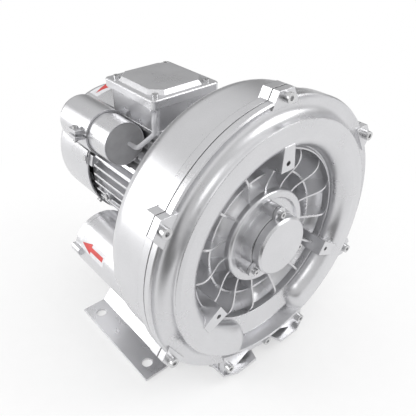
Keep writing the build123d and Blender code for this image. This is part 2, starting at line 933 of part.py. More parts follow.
def motor_frame():
    """Finned motor frame with a bolted flange and the pad that carries the terminal box."""
    frame = ring(frame_shell, frame_bore - 1.0, rear_boss_back, frame_back) + motor_fins()
    for k in range(4):
        x, z = polar(corner_rib_circle, 45.0 + 90.0 * k)
        frame += rod(x, z, corner_rib_radius, flange_back - 1.0, frame_back)
    frame += ring(rear_boss_radius, frame_bore - 1.0, rear_boss_back, flange_back)
    frame += [turn(angle) * flange_ear(rear_boss_back, flange_back) for angle in flange_angles]
    frame += block(-36.0, 36.0, box_front + 4.0, box_back - 4.0, 55.0, box_floor)
    frame += earth_bar(5.0, 64.0, 78.0)
    frame -= rod(0, 0, frame_bore, rear_boss_back - 1.0, frame_back + 1.0)
    frame -= capacitor_relief(capacitor_front - 4.0, frame_back + 1.0)
    frame -= port_relief(port_radius + relief_gap, rear_boss_back - 1.0, port_flange_back + 6.0)
    frame -= post(0, box_passage_depth, box_passage_radius, 50.0, box_floor + 1.0)
    for angle in flange_angles:
        x, z = polar(flange_bolt_circle, angle)
        frame -= rod(x, z, screw_radius + hole_clearance, rear_boss_back - 1.0, flange_back + 1.0)
    for angle in shield_screw_angles:
        x, z = polar(shield_screw_circle, angle)
        frame -= rod(x, z, small_screw_radius, frame_back - 16.0, frame_back + 1.0)
    for x, y in box_screw_places():
        frame -= post(x, y, small_screw_radius, box_floor - 8.0, box_floor + 1.0)
    return frame - earth_bar(small_screw_radius, 70.0, 80.0)


def earth_screw():
    """Screw in the small boss between two fins on the left."""
    head = earth_bar(small_head_radius, 78.0, 78.0 + small_head_height)
    return head + earth_bar(small_screw_radius, 70.0, 78.0)


def motor_flange_screws():
    head = screw_head_height
    length = flange_back - casing_back - 2.0
    screws = []
    for angle in flange_angles:
        x, z = polar(flange_bolt_circle, angle)
        screws.append(
            rear_screw(x, z, screw_radius, screw_head_radius, head, flange_back + head, length)
        )
    return screws


def stator_core():
    """Laminated core with slots that open towards the rotor."""
    core = ring(frame_bore, core_bore, core_front, core_back)
    slot = block(core_bore - 2.0, core_bore + 12.0, core_front - 1.0, core_back + 1.0, -1.8, 1.8)
    return core - [turn(k * 15.0) * slot for k in range(24)]


def stator_windings():
    """Winding heads in front of and behind the core."""
    inner, outer = core_bore + 2.0, frame_bore - 3.0
    front = ring(outer, inner, core_front - winding_reach, core_front)
    back = ring(outer, inner, core_back, core_back + winding_reach)
    return [front, back]


def rotor_core():
    return ring(core_bore - air_gap, shaft_radius, core_front, core_back)


def rotor_end_rings():
    """Cast end rings of the rotor's winding."""
    outer, inner = core_bore - 3.0, core_bore - 14.0
    front = ring(outer, inner, core_front - end_ring_reach, core_front)
    back = ring(outer, inner, core_back, core_back + end_ring_reach)
    return [front, back]


def rear_end_shield():
    """End shield that carries the rear bearing and, on four ears, the cowl."""
    hub = bearing_outer + 5.5
    mouth = bearing_inner + 1.5
    shield = turned(
        (mouth, rear_shoulder + 3.0),
        (hub, rear_shoulder + 3.0),
        (hub, shield_back),
        (shield_radius, shield_back),
        (shield_radius, frame_back),
        (frame_bore, frame_back),
        (frame_bore, frame_back - 4.0),
        (frame_bore - 4.0, frame_back - 4.0),
        (frame_bore - 4.0, frame_back + 4.0),
        (hub, frame_back + 4.0),
        (hub, rear_bearing_front - 2.0),
        (bearing_outer, rear_bearing_front - 2.0),
        (bearing_outer, rear_shoulder),
        (mouth, rear_shoulder),
    )
    ear_back = cowl_screw_depth + 6.0
    limit = rod(0, 0, cowl_radius - cowl_wall, frame_back, ear_back)
    for angle in cowl_screw_angles:
        shield += (turn(angle) * block(58.0, 80.0, frame_back + 4.0, ear_back, -7.0, 7.0)) & limit
    shield -= capacitor_relief(frame_back - 1.0, ear_back + 1.0)
    for angle in shield_screw_angles:
        x, z = polar(shield_screw_circle, angle)
        shield -= rod(x, z, small_screw_radius + hole_clearance, frame_back - 1.0, shield_back + 1.0)
    for angle in cowl_screw_angles:
        shield -= turn(angle) * radial_pin(small_screw_radius, 66.0, cowl_radius)
    return shield


def radial_pin(radius, inner, outer):
    """Round bar along +X at the depth of the cowl's screws."""
    bar = Cylinder(radius, outer - inner, align=(Align.CENTER, Align.CENTER, Align.MIN))
    return Pos(inner, cowl_screw_depth, 0) * Rot(0, 90, 0) * bar


def shield_screws():
    head_back = shield_back + small_head_height
    length = shield_thickness + 14.0
    screws = []
    for angle in shield_screw_angles:
        x, z = polar(shield_screw_circle, angle)
        screws.append(
            rear_screw(x, z, small_screw_radius, small_head_radius, small_head_height, head_back, length)
        )
    return screws


def cowl_screws():
    """Radial screws that hold the cowl on the end shield's ears."""
    screw = radial_pin(small_screw_radius, 66.5, cowl_radius)
    screw += radial_pin(small_head_radius, cowl_radius, cowl_radius + small_head_height)
    return [turn(angle) * screw for angle in cowl_screw_angles]


def cowl_shell():
    """Round fan cowl with a rounded rear edge."""
    corner, inner_corner = cowl_corner, cowl_corner - cowl_wall
    bulge = 1 - sin(radians(45))
    outer, inner = cowl_radius, cowl_radius - cowl_wall
    back, inner_back = cowl_back, cowl_back - cowl_wall
    return revolve(
        section(
            Line((0, back), (outer - corner, back)),
            ThreePointArc(
                (outer - corner, back),
                (outer - corner * bulge, back - corner * bulge),
                (outer, back - corner),
            ),
            Polyline((outer, back - corner), (outer, cowl_front), (inner, cowl_front), (inner, back - corner)),
            ThreePointArc(
                (inner, back - corner),
                (inner - inner_corner * bulge, inner_back - inner_corner * bulge),
                (inner - inner_corner, inner_back),
            ),
            Polyline((inner - inner_corner, inner_back), (0, inner_back), (0, back)),
        ),
        Axis.Y,
    )


def pocket_web():
    """Web that blends the pocket into the cowl, between its two tangent lines."""
    first = polar(cowl_radius, pocket_web_angles[0])
    second = polar(cowl_radius, pocket_web_angles[1])
    dx, dz = polar(pocket_radius, 61.0)
    upper = (capacitor_x + dx, capacitor_z + dz)
    dx, dz = polar(pocket_radius, 208.0)
    lower = (capacitor_x + dx, capacitor_z + dz)
    web = slab([first, upper, lower, second], cowl_front + 3.0, pocket_back)
    return web - rod(0, 0, cowl_radius - cowl_wall, cowl_front, cowl_back)


def clamp_place():
    """Location of the clamp, with +X out of the pocket along the slit and +Z downwards."""
    return Pos(capacitor_x, 0, capacitor_z) * turn(clamp_angle)


def clamp_ears():
    """Two ears on the pocket's outer side that the clamp screw draws together."""
    inner = capacitor_radius + pocket_gap
    outer = clamp_reach + small_head_radius + 1.0
    low, high = clamp_slit / 2, clamp_slit / 2 + clamp_ear
    ears = block(inner, outer, clamp_front, clamp_back, low, high)
    return ears + block(inner, outer, clamp_front, clamp_back, -high, -low)


def clamp_bar(radius, bottom, top):
    """Round bar across the clamp's ears."""
    return post(clamp_reach, (clamp_front + clamp_back) / 2, radius, bottom, top)


def fan_cowl():
    """Fan cowl with its rear grille and the pocket that holds the capacitor."""
    pocket = rod(capacitor_x, capacitor_z, pocket_radius, pocket_front, pocket_back)
    pocket = fillet(pocket.edges().group_by(Axis.Y)[-1], pocket_corner)
    cowl = cowl_shell() + pocket_web() + pocket
    cowl += clamp_place() * clamp_ears()
    room = capacitor_radius + pocket_gap
    cowl -= rod(capacitor_x, capacitor_z, room, pocket_front - 1.0, capacitor_back)
    cowl -= rod(capacitor_x, capacitor_z, room - 6.0, capacitor_back - 1.0, pocket_back - pocket_wall)
    half = clamp_slit / 2
    slit = block(capacitor_radius - 1.0, clamp_reach + 12.0, pocket_front - 1.0, clamp_back + 4.0, -half, half)
    cowl -= clamp_place() * slit
    cowl -= clamp_place() * clamp_bar(small_screw_radius + hole_clearance, -20.0, 20.0)
    cowl -= rounded_block(
        box_half_x + 1.0, box_front - 1.0, box_back + 1.0, box_corner, box_floor - 1.0, lid_plate
    )
    half = grille_slot_width / 2
    slot = block(20.0, 60.0, cowl_back - 5.0, cowl_back + 1.0, -half, half)
    cowl -= [turn(k * 360.0 / grille_slots) * slot for k in range(grille_slots)]
    for angle in cowl_screw_angles:
        cowl -= turn(angle) * radial_pin(small_screw_radius + hole_clearance, 70.0, cowl_radius + 5.0)
    return cowl


def clamp_screw():
    top = clamp_slit / 2 + clamp_ear
    screw = clamp_bar(small_screw_radius, -top, top + 5.0)
    screw += clamp_bar(small_head_radius, -top - small_head_height, -top)
    return clamp_place() * screw


def clamp_nut():
    seat = clamp_slit / 2 + clamp_ear
    middle = (clamp_front + clamp_back) / 2
    nut = extrude(Pos(clamp_reach, middle, seat) * RegularPolygon(small_head_radius, 6), 3.0)
    return clamp_place() * (nut - clamp_bar(small_screw_radius, 0.0, 30.0))


def capacitor_can():
    """Drawn can, open at the front where the cap closes it."""
    x, z = capacitor_x, capacitor_z
    can = rod(x, z, capacitor_radius, capacitor_front - 0.6, capacitor_back)
    can = fillet(can.edges().group_by(Axis.Y)[-1], 2.0)
    inner = capacitor_radius - capacitor_wall
    return can - rod(x, z, inner, capacitor_front - 5.0, capacitor_back - capacitor_wall)


def capacitor_cap():
    """Resin disc in the can's mouth, with the lead's hole."""
    back = capacitor_front + capacitor_cap_length
    disc = rod(capacitor_x, capacitor_z, capacitor_radius - capacitor_wall, capacitor_front, back)
    return disc - rod(lead_start_x, lead_start_z, lead_radius, capacitor_front - 1.0, back + 1.0)


def capacitor_roll():
    """Wound element inside the can."""
    front = capacitor_front + capacitor_cap_length + 4.0
    back = capacitor_back - capacitor_wall
    return rod(capacitor_x, capacitor_z, capacitor_radius - capacitor_wall, front, back)


def lead_hole():
    """Where the lead meets the rounded corner of the terminal box, and which way it goes in."""
    bulge = box_corner * (1 - cos(radians(45)))
    mouth = Vector(bulge - box_half_x, box_front + bulge, lead_hole_z)
    return mouth, Vector(1, 1, 0).normalized()


def capacitor_lead():
    """Lead from the capacitor's face up to the corner of the terminal box."""
    mouth, inward = lead_hole()
    upper = mouth - inward * lead_standoff
    lower = Vector(upper.X, upper.Y, lead_start_z + lead_rise)
    back = capacitor_front + capacitor_cap_length + 2.0
    route = FilletPolyline(
        (lead_start_x, back, lead_start_z),
        (lead_start_x, capacitor_front - lead_forward, lead_start_z),
        lower,
        upper,
        mouth + inward * (box_wall + 3.0),
        radius=lead_bend,
    )
    return sweep(Plane(route @ 0, z_dir=route % 0) * Circle(lead_radius), path=route)


def lead_grommet():
    """Rubber ring in the terminal box's corner around the lead."""
    mouth, inward = lead_hole()
    plane = Plane(origin=mouth - inward * grommet_flange, z_dir=inward)
    grommet = extrude(plane * Circle(grommet_radius), grommet_flange)
    grommet += extrude(plane * Circle(lead_radius + grommet_neck), grommet_flange + box_wall)
    return grommet - extrude(plane * Circle(lead_radius), 30.0)


def box_screw_places():
    """Screws in the floor of the terminal box."""
    return [(x, y) for x in (-26.0, 26.0) for y in (box_front + 22.0, box_back - 16.0)]


def lid_screw_places():
    """Screws in the corners of the lid."""
    x = box_half_x + lid_overhang - box_screw_inset
    y = box_half_y + lid_overhang - box_screw_inset
    return [(sx * x, box_centre + sy * y) for sx in (-1, 1) for sy in (-1, 1)]


def terminal_box():
    """Cast box on top of the motor, with screw posts in its corners."""
    wall, corner = box_wall, box_corner
    outer = rounded_block(box_half_x, box_front, box_back, corner, box_floor, box_top)
    box = outer - rounded_block(
        box_half_x - wall, box_front + wall, box_back - wall, corner - wall, box_inside, box_top + 1.0
    )
    box += [post(x, y, 5.0, box_floor, box_top) & outer for x, y in lid_screw_places()]
    box += rounded_block(box_half_x + 0.8, box_front - 0.8, box_back + 0.8, corner, box_floor, box_inside)
    mouth, inward = lead_hole()
    box -= extrude(Plane(origin=mouth - inward, z_dir=inward) * Circle(lead_radius + grommet_neck), 12.0)
    box -= extrude(gland_plane(box_half_x - 10.0) * Circle(gland_thread), 20.0)
    box -= post(0, box_passage_depth, box_passage_radius, box_floor - 1.0, box_inside + 1.0)
    for x, y in lid_screw_places():
        box -= post(x, y, small_screw_radius, box_top - 5.0, box_top + 1.0)
    for x, y in box_screw_places():
        box -= post(x, y, small_screw_radius + hole_clearance, box_floor - 1.0, box_inside + 1.0)
    return box


def box_screws():
    return [
        post(x, y, small_head_radius, box_inside, box_inside + small_head_height)
        + post(x, y, small_screw_radius, box_inside - 10.0, box_inside)
        for x, y in box_screw_places()
    ]


def terminal_box_gasket():
    wall, top = box_wall, box_top + box_gasket
    outer = rounded_block(box_half_x, box_front, box_back, box_corner, box_top, top)
    return outer - rounded_block(
        box_half_x - wall, box_front + wall, box_back - wall, box_corner - wall, box_top - 1.0, top + 1.0
    )


def lid_panel(half_x, half_y, cut):
    """Rectangle with cut corners about the middle of the lid."""
    points = [
        (cut - half_x, half_y),
        (-half_x, half_y - cut),
        (-half_x, cut - half_y),
        (cut - half_x, -half_y),
        (half_x - cut, -half_y),
        (half_x, cut - half_y),
        (half_x, half_y - cut),
        (half_x - cut, half_y),
    ]
    return Pos(0, box_centre, 0) * make_face(Polyline(*points, close=True))


def terminal_box_lid():
    """Lid with a skirt over the box's walls and a raised panel clear of its screws."""
    reach, gap = lid_overhang, lid_gap
    lid = rounded_block(
        box_half_x + reach, box_front - reach, box_back + reach, box_corner - 4.0, lid_bottom, lid_plate
    )
    lid = chamfer(lid.edges().group_by(Axis.Z)[-1], 1.0)
    panel_reach = reach - lid_panel_inset
    panel = lid_panel(box_half_x + panel_reach, box_half_y + panel_reach, lid_panel_cut)
    lid += extrude(Pos(0, 0, lid_plate - 0.5) * panel, lid_panel_rise + 0.5, taper=42)
    lid -= rounded_block(
        box_half_x + gap, box_front - gap, box_back + gap, box_corner, lid_bottom - 1.0, box_top + box_gasket
    )
    lid -= rounded_block(
        box_half_x - 12.0, box_front + 12.0, box_back - 12.0, box_corner, lid_bottom, lid_plate + 1.5
    )
    for x, y in lid_screw_places():
        lid -= post(x, y, small_screw_radius + hole_clearance, lid_bottom, lid_plate + 1.0)
        lid -= post(x, y, small_head_radius + 0.8, lid_plate, lid_plate + 10.0)
    return lid


def lid_screws():
    """Pan-head screws in the lid's corners, slotted across."""
    screws = []
    top = lid_plate + small_head_height
    for x, y in lid_screw_places():
        screw = post(x, y, small_head_radius, lid_plate, top)
        screw += post(x, y, small_screw_radius, box_top - 4.5, lid_plate)
        screws.append(screw - Pos(x, y, top) * Rot(0, 0, 35) * Box(10.0, 1.0, 2.0))
    return screws


def terminal_block():
    """Block with three clamping points on the floor of the box."""
    body = block(-20.0, 20.0, 176.0, 196.0, box_inside, box_inside + 12.0)
    for x in clamp_point_xs:
        body -= block(x - 4.5, x + 4.5, 175.0, 177.5, box_inside + 2.0, box_inside + 8.0)
        for y in clamp_point_ys:
            body -= post(x, y, small_screw_radius, box_inside + 5.0, box_inside + 13.0)
    return body


def terminal_screws():
    seat = box_inside + 12.0
    return [
        post(x, y, small_screw_radius, seat - 7.0, seat) + post(x, y, small_head_radius - 0.5, seat, seat + 2.0)
        for x in clamp_point_xs
        for y in clamp_point_ys
    ]


def gland_plane(x):
    """Plane across the gland's axis, with its normal out of the box."""
    return Plane(origin=(x, gland_depth, gland_height), x_dir=(0, 1, 0), z_dir=(1, 0, 0))


def cable_gland():
    """Gland for the supply cable on the right of the terminal box."""
    inside = box_half_x - box_wall
    gland = extrude(gland_plane(inside - 6.0) * Circle(gland_thread), box_wall + 6.0)
    gland += extrude(gland_plane(box_half_x) * RegularPolygon(gland_hex, 6), 5.0)
    gland += extrude(gland_plane(box_half_x + 5.0) * RegularPolygon(gland_hex - 0.5, 6), 9.0)
    gland += extrude(gland_plane(box_half_x + 14.0) * Circle(8.0), 4.0, taper=20)
    return gland - extrude(gland_plane(box_half_x - 30.0) * Circle(gland_bore), 80.0)


def gland_nut():
    inside = box_half_x - box_wall
    nut = extrude(gland_plane(inside - 4.0) * RegularPolygon(gland_hex, 6), 4.0)
    return nut - extrude(gland_plane(inside - 10.0) * Circle(gland_thread), 20.0)


def cooling_fan():
    """Radial fan on the shaft's rear end."""
    fan = turned(
        (fan_seat_radius, fan_front),
        (18.0, fan_front),
        (18.0, fan_front + 5.0),
        (fan_radius, fan_front + 7.0),
        (fan_radius, fan_front + 9.0),
        (18.0, fan_front + 8.5),
        (18.0, fan_back),
        (fan_seat_radius, fan_back),
    )
    blade = block(16.0, fan_radius - 1.0, fan_front + 7.5, fan_back - 2.0, -1.2, 1.2)
    for k in range(fan_blades):
        fan += turn(k * 360.0 / fan_blades) * blade
    return fan


def fan_circlip():
    inner, back = fan_seat_radius - circlip_depth, fan_back + circlip_thickness
    clip = ring(fan_seat_radius + 3.0, inner, fan_back, back)
    return clip - block(-2.0, 2.0, fan_back - 1.0, back + 1.0, -30.0, -1.0)


def foot_tongue(side):
    """Front tongue of the raised panel, with half of the notch under the bottom lug."""
    inner, outer, front = foot_tongue_inner, foot_tongue_outer, foot_tongue_front
    panel_front = foot_centre_depth - foot_flange_length / 2 + 1.0
    outline = [
        (side * (inner + 3.0), front),
        (side * (outer - 16.0), front),
        (side * outer, front + 6.5),
        (side * outer, panel_front - 10.0),
        (side * foot_panel_half, panel_front),
        (0.0, panel_front),
        (0.0, foot_notch_back),
        (side * (inner - 5.0), foot_notch_back - 6.0),
        (side * (inner - 2.0), front + 15.0),
    ]
    plane = Plane.XY.offset(panel_top - foot_sheet)
    return extrude(plane * make_face(Polyline(*outline, close=True)), foot_sheet)


def foot_plate():
    """Bent sheet foot: raised panel, sloping webs and two drilled ground flanges."""
    sheet, ground = foot_sheet, -shaft_height
    edge = foot_hole_span_x / 2 + foot_flange_width / 2
    bend = edge - foot_flange_width
    fold = sheet * tan(atan2(foot_rise, bend - foot_panel_half) / 2)
    over = [(edge, ground + sheet), (bend, ground + sheet), (foot_panel_half, panel_top)]
    under = [(edge, ground), (bend - fold, ground), (foot_panel_half - fold, panel_top - sheet)]
    profile = [(-x, z) for x, z in over]
    profile.extend(reversed(over))
    profile.extend(under)
    profile.extend((-x, z) for x, z in reversed(under))
    half_length = foot_flange_length / 2
    plate = slab(profile, foot_centre_depth - half_length, foot_centre_depth + half_length)
    for side in (-1, 1):
        plate += foot_tongue(side)
    for x_side in (-1, 1):
        for y_side in (-1, 1):
            x = x_side * foot_hole_span_x / 2
            y = foot_centre_depth + y_side * foot_hole_span_y / 2
            plate -= post(x, y, foot_hole_radius, ground - 1.0, ground + sheet + 1.0)
        for depth in foot_bolt_depths:
            hole = foot_bolt_radius + hole_clearance
            plate -= post(x_side * foot_screw_x, depth, hole, panel_top - sheet - 1.0, panel_top + 1.0)
    return plate


def foot_bolts():
    """Hexagon bolts from below that hold the housing on its foot."""
    under = panel_top - foot_sheet
    bolts = []
    for side in (-1, 1):
        for depth in foot_bolt_depths:
            x = side * foot_screw_x
            head = extrude(Pos(x, depth, under - foot_bolt_head) * RegularPolygon(7.5, 6), foot_bolt_head)
            bolts.append(head + post(x, depth, foot_bolt_radius, under, under + foot_sheet + 11.0))
    return bolts


def save(node, shape):
    """Write one node, moved from the shaft's frame onto the foot."""
    pieces = shape if isinstance(shape, list) else [shape]
    solids = []
    for piece in pieces:
        solids.extend(piece.solids())
    placed = Location((0, -foot_centre_depth, shaft_height)) * Compound(solids)
    export_step(placed, f"parts/{node}.step")


save("front_cover", front_cover())
save("housing_gasket", housing_gasket())
save("rear_housing", rear_housing())
save("cover_screws", cover_screws())
save("hub_cap", hub_cap())
save("hub_cap_gasket", hub_cap_gasket())
save("hub_cap_screws", hub_cap_screws())
save("port_tube_left", port_tube(-1))
save("port_tube_right", port_tube(1))
save("port_flange_left", port_flange(-1))
save("port_flange_right", port_flange(1))
save("port_flange_screws", port_flange_screws())
save("silencer_insert_left", silencer_insert(-1))
save("silencer_insert_right", silencer_insert(1))
save("impeller", impeller())
save("impeller_key", impeller_key())
save("impeller_circlip", impeller_circlip())
save("shaft", shaft())
save("front_shaft_seal", shaft_seal(front_seal_radius, front_seal_front))
save("rear_shaft_seal", shaft_seal(rear_seal_radius, rear_boss_back - seal_width - 0.5))
save("front_bearing_outer_ring", bearing_outer_ring(front_bearing_front))
save("front_bearing_inner_ring", bearing_inner_ring(front_bearing_front))
save("front_bearing_balls", bearing_balls(front_bearing_front))
save("front_bearing_cage", bearing_cage(front_bearing_front))
save("rear_bearing_outer_ring", bearing_outer_ring(rear_bearing_front))
save("rear_bearing_inner_ring", bearing_inner_ring(rear_bearing_front))
save("rear_bearing_balls", bearing_balls(rear_bearing_front))
save("rear_bearing_cage", bearing_cage(rear_bearing_front))
save("motor_frame", motor_frame())
save("motor_flange_screws", motor_flange_screws())
save("earth_screw", earth_screw())
save("stator_core", stator_core())
save("stator_windings", stator_windings())
save("rotor_core", rotor_core())
save("rotor_end_rings", rotor_end_rings())
save("rear_end_shield", rear_end_shield())
save("shield_screws", shield_screws())
save("fan_cowl", fan_cowl())
save("cowl_screws", cowl_screws())
save("cooling_fan", cooling_fan())
save("fan_circlip", fan_circlip())
save("capacitor_can", capacitor_can())
save("capacitor_cap", capacitor_cap())
save("capacitor_roll", capacitor_roll())
save("capacitor_lead", capacitor_lead())
save("lead_grommet", lead_grommet())
save("clamp_screw", clamp_screw())
save("clamp_nut", clamp_nut())
save("terminal_box", terminal_box())
save("box_screws", box_screws())
save("terminal_box_gasket", terminal_box_gasket())
save("terminal_box_lid", terminal_box_lid())
save("lid_screws", lid_screws())
save("terminal_block", terminal_block())
save("terminal_screws", terminal_screws())
save("cable_gland", cable_gland())
save("gland_nut", gland_nut())
save("foot_plate", foot_plate())
save("foot_bolts", foot_bolts())
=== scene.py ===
import json
from math import cos, pi, radians, sin

import bmesh
import bpy
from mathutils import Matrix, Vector


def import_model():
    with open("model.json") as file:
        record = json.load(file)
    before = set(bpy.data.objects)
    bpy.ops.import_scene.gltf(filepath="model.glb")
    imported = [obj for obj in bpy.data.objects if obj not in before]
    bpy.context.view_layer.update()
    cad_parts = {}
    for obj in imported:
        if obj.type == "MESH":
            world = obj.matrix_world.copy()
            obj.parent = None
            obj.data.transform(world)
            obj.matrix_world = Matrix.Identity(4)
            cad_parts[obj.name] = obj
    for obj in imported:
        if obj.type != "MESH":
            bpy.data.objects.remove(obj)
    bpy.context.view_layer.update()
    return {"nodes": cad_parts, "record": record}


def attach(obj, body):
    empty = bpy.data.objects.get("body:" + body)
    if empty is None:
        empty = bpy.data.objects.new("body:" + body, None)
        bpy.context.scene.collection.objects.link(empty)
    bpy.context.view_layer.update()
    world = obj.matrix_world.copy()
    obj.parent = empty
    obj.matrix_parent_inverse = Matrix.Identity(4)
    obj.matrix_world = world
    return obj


# Looks of the side channel blower. Its CAD pieces get procedural finishes. A dished floor between
# the cover's fins, painted arrows, and a lap seam and a raised tab on the cowl are added as thin
# pieces. Metres, in the frame of the CAD. The CAD measures depth from the cover's screw heads and
# height from the shaft; on_blower() turns such a place into the frame.

SHAFT_HEIGHT = 0.175
FOOT_CENTRE_DEPTH = 0.138

# Camera, for a picture of 416 by 416
CAMERA_PLACE = (-0.3115, -0.3961, 0.4904)
CAMERA_AZIMUTH = 40.3
CAMERA_PITCH = 34.3
FOCAL_PIXELS = 500.0
PICTURE_PIXELS = 416.0
SENSOR_WIDTH = 36.0
NEAREST_SEEN = 0.01
FARTHEST_SEEN = 50.0

# Dished floor between the cover's fins: radius and depth, from the lip to the hub
RECESS_FLOOR = (
    (0.0964, 0.0215),
    (0.0945, 0.0262),
    (0.0910, 0.0302),
    (0.0860, 0.0334),
    (0.0800, 0.0353),
    (0.0745, 0.0358),
    (0.0690, 0.0353),
    (0.0635, 0.0332),
    (0.0590, 0.0300),
    (0.0555, 0.0258),
    (0.0535, 0.0215),
)
RECESS_STEPS = 180

# Round surfaces that carry patches, as the x and height of their axis and their radius
PORT_AXIS = (-0.093, SHAFT_HEIGHT - 0.062)
PORT_RADIUS = 0.0366
COWL_AXIS = (0.0, SHAFT_HEIGHT)
COWL_RADIUS = 0.078
ARC_STEP = 2.0

# How far patches stand off those surfaces
PAINT_LIFT = 0.00012
SEAM_LIFT = 0.0006
TAB_LIFT = 0.0010

# Outlines of the patches, as angle about the axis in degrees and depth
PORT_LABEL = [(141.0, 0.139), (165.0, 0.139), (165.0, 0.189), (141.0, 0.189)]
COWL_LABEL = [(84.0, 0.2975), (110.0, 0.2955), (110.0, 0.3155), (84.0, 0.3155)]
COWL_ARROW = [(107.5, 0.3049), (87.9, 0.3186), (90.2, 0.3040)]
COWL_SEAM = [(111.9, 0.251), (113.3, 0.251), (113.3, 0.289), (111.9, 0.289)]
COWL_TAB = [
    (150.0, 0.249),
    (170.5, 0.249),
    (171.5, 0.262),
    (167.0, 0.289),
    (152.0, 0.289),
    (148.5, 0.262),
]

# Colours, linear
PAINT_SILVER = (0.67, 0.67, 0.685)
SHEET_SILVER = (0.65, 0.65, 0.665)
# Colour of lighter edges: partly worn metal, partly painted highlight
WORN_AND_LIT_EDGE = (0.86, 0.86, 0.87)
ARROW_RED = (0.62, 0.055, 0.05)
LABEL_PALE = (0.74, 0.74, 0.76)

# Parts of the noise's range that are stretched over a whole effect
WIDE_SPAN = (0.3, 0.7)
TIGHT_SPAN = (0.35, 0.65)
RUB_SPAN = (0.35, 0.6)

# Agreement of rounded and true normal at which an edge counts as full and as none
EDGE_SPAN = (0.80, 0.995)

# Sockets of the mix node
NUMBER_A, NUMBER_B, NUMBER_OUT = 2, 3, 0
COLOUR_A, COLOUR_B, COLOUR_OUT = 6, 7, 2

# Lamps: name, place, width, height and radiance
LAMP_AIM = (0.0, 0.0, 0.15)
LAMPS = (
    ("rear_left", (-1.2, 1.0, 0.60), 1.2, 0.95, 3.4),
    ("front_right_high", (0.95, -0.95, 1.25), 0.9, 0.9, 3.6),
    ("front_left_high", (-0.9, -0.7, 1.4), 0.7, 0.7, 1.6),
)

# Brightness of the studio low behind, half way up, overhead and in front, and where it changes
WORLD_BACK = 0.24
WORLD_SHOULDER = 0.78
WORLD_TOP = 1.15
WORLD_FRONT = 0.70
SHOULDER_RISE = (0.28, 0.55)
CROWN_RISE = (0.72, 0.98)
FRONT_FADE = (-0.65, 0.35)
SEEN_WHITE = 1.0

# Floor: where its shadow gives way to white, and how much of it is white near the foot
FLOOR_HALF_SIDE = 6.0
FLOOR_GREYS = ((0.93, 0.93, 0.93), (0.95, 0.95, 0.95))
FLOOR_ROUGHNESS = 0.7
SHADOW_FADE = (0.15, 0.55)
WHITE_NEAR_FOOT = 0.45

# Painted dark reflection: the floor's front left corner is dark only to mirroring rays, so the left
# of the cover's groove mirrors it dark: where it fades
PAINTED_REFLECTION_X = (-0.12, 0.02)
PAINTED_REFLECTION_Y = (-0.48, -0.32)
PAINTED_REFLECTION_TONE = 0.02


def on_blower(x, depth, height):
    """Place in the frame from a place about the shaft."""
    return Vector((x, depth - FOOT_CENTRE_DEPTH, height + SHAFT_HEIGHT))


class Finish:
    """Small helper that builds one node material."""

    def __init__(self, name):
        self.material = bpy.data.materials.new(name)
        self.material.use_nodes = True
        self.nodes = self.material.node_tree.nodes
        self.links = self.material.node_tree.links
        self.shader = self.nodes["Principled BSDF"]
        self.place = self.add("ShaderNodeTexCoord").outputs["Object"]

    def add(self, kind):
        return self.nodes.new(kind)

    def link(self, output, socket):
        self.links.new(output, socket)

    def noise(self, size, detail=3.0, roughness=0.55, stretch=None):
        """Noise with features of that size in metres; stretch lengthens them along an axis."""
        node = self.add("ShaderNodeTexNoise")
        node.inputs["Scale"].default_value = 1.0 / size
        node.inputs["Detail"].default_value = detail
        node.inputs["Roughness"].default_value = roughness
        if stretch is None:
            self.link(self.place, node.inputs["Vector"])
        else:
            mapping = self.add("ShaderNodeMapping")
            mapping.inputs["Scale"].default_value = [1.0 / factor for factor in stretch]
            self.link(self.place, mapping.inputs["Vector"])
            self.link(mapping.outputs["Vector"], node.inputs["Vector"])
        return node.outputs["Fac"]

    def ranged(self, value, span, to_low=0.0, to_high=1.0):
        """Value remapped from a span to a range, clamped."""
        node = self.add("ShaderNodeMapRange")
        node.inputs["From Min"].default_value = span[0]
        node.inputs["From Max"].default_value = span[1]
        node.inputs["To Min"].default_value = to_low
        node.inputs["To Max"].default_value = to_high
        self.link(value, node.inputs["Value"])
        return node.outputs["Result"]

    def maths(self, operation, first, second):
        """Result of a maths node; the second value is a socket or a plain number."""
        node = self.add("ShaderNodeMath")
        node.operation = operation
        self.link(first, node.inputs[0])
        if isinstance(second, float):
            node.inputs[1].default_value = second
        else:
            self.link(second, node.inputs[1])
        return node.outputs["Value"]

    def mixed(self, factor, first, second):
        """Colour between two. The factor and the colours are sockets or plain values."""
        node = self.add("ShaderNodeMix")
        node.data_type = "RGBA"
        if isinstance(factor, float):
            node.inputs["Factor"].default_value = factor
        else:
            self.link(factor, node.inputs["Factor"])
        for socket, colour in ((node.inputs[COLOUR_A], first), (node.inputs[COLOUR_B], second)):
            if isinstance(colour, tuple):
                socket.default_value = (*colour, 1.0)
            else:
                self.link(colour, socket)
        return node.outputs[COLOUR_OUT]

    def edges(self, radius):
        """(rounded normal, edge mask) of edges with that radius."""
        bevel = self.add("ShaderNodeBevel")
        bevel.samples = 4
        bevel.inputs["Radius"].default_value = radius
        geometry = self.add("ShaderNodeNewGeometry")
        dot = self.add("ShaderNodeVectorMath")
        dot.operation = "DOT_PRODUCT"
        self.link(bevel.outputs["Normal"], dot.inputs[0])
        self.link(geometry.outputs["Normal"], dot.inputs[1])
        mask = self.ranged(dot.outputs["Value"], EDGE_SPAN, 1.0, 0.0)
        return bevel.outputs["Normal"], mask

    def relief(self, height, depth, normal):
        """Bump from a height in 0 to 1, that many metres deep."""
        node = self.add("ShaderNodeBump")
        node.inputs["Strength"].default_value = 1.0
        node.inputs["Distance"].default_value = depth
        self.link(height, node.inputs["Height"])
        self.link(normal, node.inputs["Normal"])
        self.link(node.outputs["Normal"], self.shader.inputs["Normal"])


def shade(colour, factor):
    return tuple(min(1.0, channel * factor) for channel in colour)


